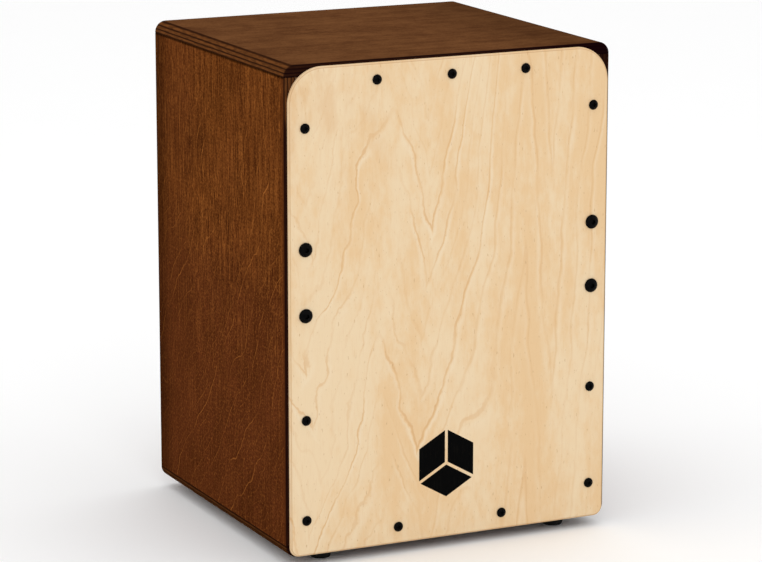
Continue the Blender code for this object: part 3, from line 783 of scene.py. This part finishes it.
def side_panel(node, look, side):
    """Side panel with eased outer edges and fine grooves where its plies end, front and back."""
    low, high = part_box(node)
    outer = high.x if side > 0 else low.x
    middle_y = (low.y + high.y) / 2
    half = (high.y - low.y) / 2
    outline = [(0.0, -half)]
    for line in reversed(GLUE_LINES[1:]):
        at = PANEL - line
        outline += [(at - GLUE_HALF, -half), (at, -half + GLUE_DEPTH), (at + GLUE_HALF, -half)]
    outline += arc(PANEL - EASE, EASE - half, EASE, -90, 0, 6)
    outline += [(x, -y) for x, y in reversed(outline)]
    inner = outer - side * PANEL
    rings = []
    for z, inset in eased(low.z, high.z, SIDE_END_EASE, 2):
        thinner, narrower = 1 - inset / PANEL, 1 - inset / half
        rings.append([(inner + side * x * thinner, middle_y + y * narrower, z) for x, y in outline])
    return show(f"{node}_ply", loft(rings), look, node, 25)


def back_panel(look):
    """Back panel with a round sound hole, its rims eased."""
    low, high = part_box("back_panel")
    middle_z = (low.z + high.z) / 2
    half_x = (high.x - low.x) / 2
    half_z = (high.z - low.z) / 2
    offset = HOLE_HEIGHT - middle_z
    corners = [math.atan2(sign_z * half_z - offset, sign_x * half_x)
               for sign_x in (1, -1) for sign_z in (1, -1)]
    turns = sorted([2 * math.pi * step / HOLE_STEPS - math.pi for step in range(HOLE_STEPS)] + corners)

    def rim_point(angle, inset):
        """Where a ray from the hole's centre meets the panel's outline."""
        dx, dz = math.cos(angle), math.sin(angle)
        reach_x = (half_x - inset) / abs(dx) if abs(dx) > 1e-9 else 1e9
        edge_z = (half_z - inset - offset) if dz > 0 else (half_z - inset + offset)
        reach_z = edge_z / abs(dz) if abs(dz) > 1e-9 else 1e9
        reach = min(reach_x, reach_z)
        return reach * dx, reach * dz + HOLE_HEIGHT

    rings = []
    for y, inset in eased(low.y, high.y, BACK_PANEL_EASE, 2):
        rings.append([(x, y, z) for x, z in (rim_point(angle, inset) for angle in turns)])
    for y, inset in eased(high.y, low.y, HOLE_EASE, 5):
        reach = HOLE_RADIUS + inset
        rings.append([(reach * math.cos(angle), y, HOLE_HEIGHT + reach * math.sin(angle))
                      for angle in turns])
    return show("back_panel_ply", loft(rings, cyclic=True), look, "back_panel", 25)


def tapa_outline(inset, box):
    """The playing surface's outline in XZ, drawn in by inset."""
    low, high = box
    side = high.x - inset
    base, top = low.z + inset, high.z - inset
    round_top = TAPA_TOP_RADIUS - inset
    round_base = TAPA_BOTTOM_RADIUS - inset
    outline = arc(side - round_top, top - round_top, round_top, 0, 90, 20)
    outline += arc(round_top - side, top - round_top, round_top, 90, 180, 20)
    outline += arc(round_base - side, base + round_base, round_base, 180, 270, 12)
    outline += arc(side - round_base, base + round_base, round_base, 270, 360, 12)
    return outline


def playing_surface(look):
    """The thin front board, its front edge rounded over and its fastener holes drilled."""
    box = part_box("playing_surface")
    low, high = box
    rings = []
    for step in range(TAPA_EASE_STEPS + 1):
        angle = math.radians(90 * step / TAPA_EASE_STEPS)
        inset = TAPA_EASE * (1 - math.sin(angle))
        y = low.y + TAPA_EASE * (1 - math.cos(angle))
        rings.append([(x, y, z) for x, z in tapa_outline(inset, box)])
    for y, inset in ((high.y - TAPA_BACK_EASE, 0.0), (high.y, TAPA_BACK_EASE)):
        rings.append([(x, y, z) for x, z in tapa_outline(inset, box)])
    mesh = loft(rings)
    drills = []
    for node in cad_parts:
        if node.startswith(("tapa_screw", "tapa_bolt")):
            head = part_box(node)
            centre = (head[0] + head[1]) / 2
            radius = BOLT_HOLE if "bolt" in node else SCREW_HOLE
            drills.append(drill(radius, (centre.x, low.y, centre.z)))
    mesh = cut(mesh, join(drills))
    return show("playing_surface_birch", mesh, look, "playing_surface", 30)


# ---------------------------------------------------------------- fasteners

def dome(radius, height, steps):
    """(radius, height) points down a ball's cap, from its top to its rim."""
    sphere = (radius * radius + height * height) / (2 * height)
    half = math.asin(min(1.0, radius / sphere))
    points = []
    for step in range(steps + 1):
        angle = half * step / steps
        points.append((sphere * math.sin(angle), height - sphere + sphere * math.cos(angle)))
    return points


def cross_outline(reach, half_slot):
    """The outline of a cross recess."""
    turned = []
    for quarter in range(4):
        for x, y in ((reach, -half_slot), (reach, half_slot), (half_slot, half_slot)):
            for _ in range(quarter):
                x, y = -y, x
            turned.append((x, y))
    return turned


def hexagon(across_flats):
    """The outline of a hexagon socket."""
    return arc(0.0, 0.0, across_flats / 2 / math.cos(math.pi / 6), 30, 330, 5)


def headed(head_radius, head_height, shank_radius, length, tip):
    """Profile of a fastener: domed head with a rounded rim, shank, and a pointed or flat end."""
    skirt = head_height * 0.25
    rim = skirt * 0.5
    crown = dome(head_radius - rim * 0.3, head_height - skirt, 10)
    profile = [(radius, height + skirt) for radius, height in crown]
    profile += [(head_radius, skirt * 0.6), (head_radius, skirt * 0.25), (head_radius - HEAD_UNDERCUT, 0.0)]
    profile += [(shank_radius, 0.0), (shank_radius, tip - length)]
    if tip > 0:
        return profile + [(0.0, -length)]
    return profile + [(shank_radius * 0.7, -length - TIP_EASE), (0.0, -length - TIP_EASE)]


def fasteners(black, zinc):
    """Every screw and bolt, turned at a fine step with its recess cut into the head."""
    facing_front = Matrix.Rotation(math.pi / 2, 4, "X")
    facing_down = Matrix.Rotation(math.pi, 4, "X")
    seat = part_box("playing_surface")[0].y - GAP
    for node in sorted(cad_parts):
        low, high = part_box(node)
        centre = (low + high) / 2
        width, depth, height = (high[axis] - low[axis] for axis in range(3))
        turn, look, slot = facing_front, black, "black_steel"
        if node.startswith("tapa_screw"):
            mesh = screw(width, TAPA_SCREW_HEAD, SCREW_SHANK, depth, SCREW_POINT)
            place = (centre.x, seat, centre.z)
        elif node.startswith("tapa_bolt"):
            mesh = bolt(width, BOLT_HEAD, BOLT_SHANK, depth)
            place = (centre.x, seat, centre.z)
        elif node.startswith("snare_screw"):
            mesh = screw(width, SNARE_SCREW_HEAD, SNARE_SCREW_SHANK, depth, SNARE_SCREW_POINT)
            place = (centre.x, high.y - SNARE_SCREW_LENGTH, centre.z)
            look, slot = zinc, "zinc_steel"
        elif node.startswith("foot_screw"):
            mesh = screw(width, FOOT_SCREW_HEAD, SCREW_SHANK, height, SCREW_POINT)
            place = (centre.x, centre.y, high.z - FOOT_SCREW_LENGTH)
            turn = facing_down
        else:
            continue
        show(f"{node}_fine", moved(mesh, Matrix.Translation(place) @ turn), look, node, 35)


def screw(head_diameter, head_height, shank_radius, whole, tip):
    """A screw with a cross recess; whole is its length with the head."""
    radius = head_diameter / 2
    mesh = lathe(headed(radius, head_height, shank_radius, whole - head_height, tip), ROUND_STEPS)
    outline = cross_outline(radius * 0.58, radius * 0.13)
    return cut(mesh, prism(outline, head_height * 0.35, head_height * 1.4, 0.55))


def bolt(head_diameter, head_height, shank_radius, whole):
    """A button-head bolt with a hexagon socket; whole is its length with the head."""
    radius = head_diameter / 2
    length = whole - head_height - TIP_EASE
    mesh = lathe(headed(radius, head_height, shank_radius, length, 0.0), ROUND_STEPS)
    return cut(mesh, prism(hexagon(BOLT_SOCKET), head_height - BOLT_SOCKET_DEPTH, head_height * 1.4))


# ---------------------------------------------------------------- feet, washers and nuts

def feet(rubber, zinc):
    """Four rubber feet, recessed from below for a screw and a washer, and those washers."""
    for label in ("front_left", "front_right", "back_left", "back_right"):
        low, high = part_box(f"foot_{label}")
        centre = (low + high) / 2
        reach = (high.x - low.x) / 2
        profile = [(SCREW_HOLE, high.z), (reach - FOOT_RIM_EASE, high.z), (reach, high.z - FOOT_RIM_EASE)]
        profile += [(reach, high.z - FOOT_RIM), (reach - FOOT_STEP, high.z - FOOT_STEP_BASE)]
        profile += arc(reach - FOOT_TAPER, low.z + FOOT_ROUNDING, FOOT_ROUNDING, 0, -90, 6)
        profile += arc(FOOT_RECESS_RADIUS + FOOT_RECESS_EASE, low.z + FOOT_RECESS_EASE,
                       FOOT_RECESS_EASE, -90, -180, 3)
        profile += [(FOOT_RECESS_RADIUS, FOOT_RECESS), (SCREW_HOLE, FOOT_RECESS)]
        mesh = lathe(profile, FOOT_STEPS, closed=True)
        mesh = moved(mesh, Matrix.Translation((centre.x, centre.y, 0)))
        show(f"foot_{label}_rubber", mesh, rubber, f"foot_{label}", 35)
        washer(f"foot_washer_{label}", 2, zinc)


def bar_hardware(zinc):
    """The washers and nuts that hold the snare bar."""
    for node in sorted(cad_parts):
        if node.startswith("washer_"):
            washer(node, 1, zinc)
        elif node.startswith("nut_"):
            nut(node, zinc)


def washer(node, axis, look):
    """A flat washer with eased rims; axis is 1 for Y and 2 for Z."""
    low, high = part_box(node)
    centre = (low + high) / 2
    thick = high[axis] - low[axis]
    outer = (high.x - low.x) / 2
    inner = BOLT_HOLE if axis == 1 else SCREW_HOLE
    base, rim = -thick / 2, WASHER_EASE
    profile = [(inner, base + rim), (inner + rim, base), (outer - rim, base), (outer, base + rim)]
    profile += [(radius, -height) for radius, height in reversed(profile)]
    turn = Matrix.Rotation(-math.pi / 2, 4, "X") if axis == 1 else Matrix.Identity(4)
    mesh = moved(lathe(profile, ROUND_STEPS, closed=True), Matrix.Translation(centre) @ turn)
    return show(f"{node}_fine", mesh, look, node, 35)


def nut(node, look):
    """A hexagon nut whose corners are chamfered, with a bored hole."""
    low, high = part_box(node)
    centre = (low + high) / 2
    flats = high.z - low.z
    thick = high.y - low.y
    corner = flats / 2 / math.cos(math.pi / 6)
    turns = [2 * math.pi * step / NUT_STEPS for step in range(NUT_STEPS)]
    rings = []
    for height, limit in ((0.0, flats / 2), (NUT_CHAMFER, corner),
                          (thick - NUT_CHAMFER, corner), (thick, flats / 2)):
        ring = []
        for angle in turns:
            fold = (angle - math.pi / 6) % (math.pi / 3) - math.pi / 6
            reach = min(flats / 2 / math.cos(fold), limit)
            ring.append((reach * math.cos(angle), reach * math.sin(angle), height - thick / 2))
        rings.append(ring)
    for height, radius in ((thick, NUT_FLARE), (thick - NUT_FLARE_DEPTH, BOLT_HOLE),
                           (NUT_FLARE_DEPTH, BOLT_HOLE), (0.0, NUT_FLARE)):
        rings.append([(radius * math.cos(angle), radius * math.sin(angle), height - thick / 2)
                      for angle in turns])
    turn = Matrix.Rotation(-math.pi / 2, 4, "X")
    mesh = moved(loft(rings, cyclic=True), Matrix.Translation(centre) @ turn)
    return show(f"{node}_fine", mesh, look, node, 30)


# ---------------------------------------------------------------- snares

def coil(start, end, reach, thick, pitch):
    """A sprung wire: a helix from start to end with a small square section."""
    start, end = Vector(start), Vector(end)
    axis = (end - start).normalized()
    side = axis.cross(Vector((1, 0, 0))).normalized()
    other = axis.cross(side)
    length = (end - start).length
    steps = int(length / pitch * COIL_TURN_STEPS)
    rings = []
    for step in range(steps + 1):
        along = step / steps
        angle = 2 * math.pi * step / COIL_TURN_STEPS
        out = side * math.cos(angle) + other * math.sin(angle)
        centre = start + axis * length * along + out * reach
        section = ((1, 0), (0, 1), (-1, 0), (0, -1))
        rings.append([tuple(centre + out * thick * a + axis * thick * b) for a, b in section])
    return loft(rings)


def snares(zinc):
    """Two sets of ten coiled wires, each on its drilled plate."""
    for side in ("left", "right"):
        node = f"snare_set_{side}"
        low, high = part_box(node)
        middle_x = (low.x + high.x) / 2
        plate_z = low.z + SNARE_PLATE_HEIGHT / 2
        front = high.y - SNARE_PLATE
        holes = []
        for end in ("outer", "inner"):
            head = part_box(f"snare_screw_{side}_{end}")
            spot = (head[0] + head[1]) / 2
            holes.append(drill(SNARE_SCREW_HOLE, (spot.x, high.y, spot.z)))
        corner = SNARE_PLATE_CORNER
        reach_x = (high.x - low.x) / 2 - corner
        reach_z = SNARE_PLATE_HEIGHT / 2 - corner
        outline = []
        for turn, sign_x, sign_z in ((0, 1, 1), (90, -1, 1), (180, -1, -1), (270, 1, -1)):
            outline += arc(sign_x * reach_x, sign_z * reach_z, corner, turn, turn + 90, 5)
        plate = loft([[(middle_x + x, y, plate_z + z) for x, z in outline] for y in (high.y, front)])
        parts = [cut(plate, join(holes))]
        wire_base = plate_z + SNARE_PLATE_HEIGHT * 0.3
        for number in range(SNARE_WIRES):
            x = middle_x + (number - (SNARE_WIRES - 1) / 2) * SNARE_WIRE_PITCH
            start = (x, front - COIL_RADIUS, wire_base)
            finish = (x, low.y + COIL_RADIUS + COIL_WIRE, high.z - COIL_TOP_GAP)
            parts.append(coil(start, finish, COIL_RADIUS - COIL_WIRE, COIL_WIRE, COIL_PITCH))
        show(f"{node}_coils", join(parts), zinc, node, 30)


# ---------------------------------------------------------------- emblem

def emblem(ink):
    """A plain printed mark of a box: three rhombi with thin gaps, no lettering."""
    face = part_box("playing_surface")[0].y
    centre_x, centre_z = EMBLEM_AT
    size = EMBLEM_SIZE
    parts = []
    for turn in (30, 150, 270):
        before, after = math.radians(turn - 60), math.radians(turn + 60)
        first = Vector((math.cos(before), math.sin(before)))
        second = Vector((math.cos(after), math.sin(after)))
        rhomb = [Vector((0, 0)), first * size, (first + second) * size, second * size]
        middle = (first + second) * size / 2
        shrunk = [middle + (corner - middle) * (1 - 2 * EMBLEM_GAP / size) for corner in rhomb]
        points = [(centre_x + p.x, centre_z + p.y) for p in shrunk]
        ends = (face - INK_THICKNESS, face + INK_SINK)
        parts.append(loft([[(x, y, z) for x, z in points] for y in ends]))
    return show("front_emblem", join(parts), ink, None, 30)


# ---------------------------------------------------------------- studio

def studio():
    """Pale floor, soft light and the camera."""
    scene = bpy.context.scene
    floor_look = Graph("floor_paper")
    cloud = floor_look.noise(floor_look.place, scale=3, detail=2)
    tone = floor_look.mix(cloud, FLOOR_DARK, FLOOR_LIGHT)
    floor_look.finish(tone, 0.8)
    data = bpy.data.meshes.new("floor")
    sheet = bmesh.new()
    bmesh.ops.create_grid(sheet, x_segments=1, y_segments=1, size=FLOOR_REACH)
    sheet.to_mesh(data)
    sheet.free()
    data.materials.append(floor_look.material)
    floor = bpy.data.objects.new("floor", data)
    scene.collection.objects.link(floor)

    world = bpy.data.worlds.new("studio")
    world.use_nodes = True
    backdrop = world.node_tree.nodes["Background"]
    backdrop.inputs["Color"].default_value = (1.0, 1.0, 1.0, 1.0)
    backdrop.inputs["Strength"].default_value = 1.0
    scene.world = world
    scene.view_settings.view_transform = "Standard"

    for name, at, size, power in LAMPS:
        lamp = bpy.data.lights.new(name, "AREA")
        lamp.size = size
        lamp.energy = power
        holder = bpy.data.objects.new(name, lamp)
        holder.location = at
        aim = Vector(LAMPS_AIM) - Vector(at)
        holder.rotation_euler = aim.to_track_quat("-Z", "Y").to_euler()
        scene.collection.objects.link(holder)

    camera = bpy.data.objects.new("camera", bpy.data.cameras.new("camera"))
    camera.data.lens = CAMERA_LENS
    camera.data.sensor_width = CAMERA_SENSOR
    camera.data.clip_start = CAMERA_CLIP
    camera.location = CAMERA_AT
    camera.rotation_euler = (math.radians(90 - CAMERA_PITCH), 0.0, math.radians(-CAMERA_YAW))
    scene.collection.objects.link(camera)
    scene.camera = camera


studio()
end_panel("top_panel", end_panel_material("top_panel_stained", True), 1)
end_panel("bottom_panel", end_panel_material("bottom_panel_stained", False), -1)
side_panel("left_side_panel", side_panel_material("left_side_stained", -1), -1)
side_panel("right_side_panel", side_panel_material("right_side_stained", 1), 1)
back_panel(back_panel_material())
playing_surface(birch_material())
black = black_metal_material()
zinc = zinc_material()
fasteners(black, zinc)
feet(rubber_material(), zinc)
bar_hardware(zinc)
snares(zinc)
emblem(ink_material())

upright_wood = raw_wood_material("softwood_upright", "z", 1.0)
level_wood = raw_wood_material("softwood_level", "x", 5.0)
for node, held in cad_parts.items():
    if "batten" in node or node == "snare_bar":
        look = upright_wood if node.endswith(("left", "right")) else level_wood
        held.data.materials.clear()
        held.data.materials.append(look)
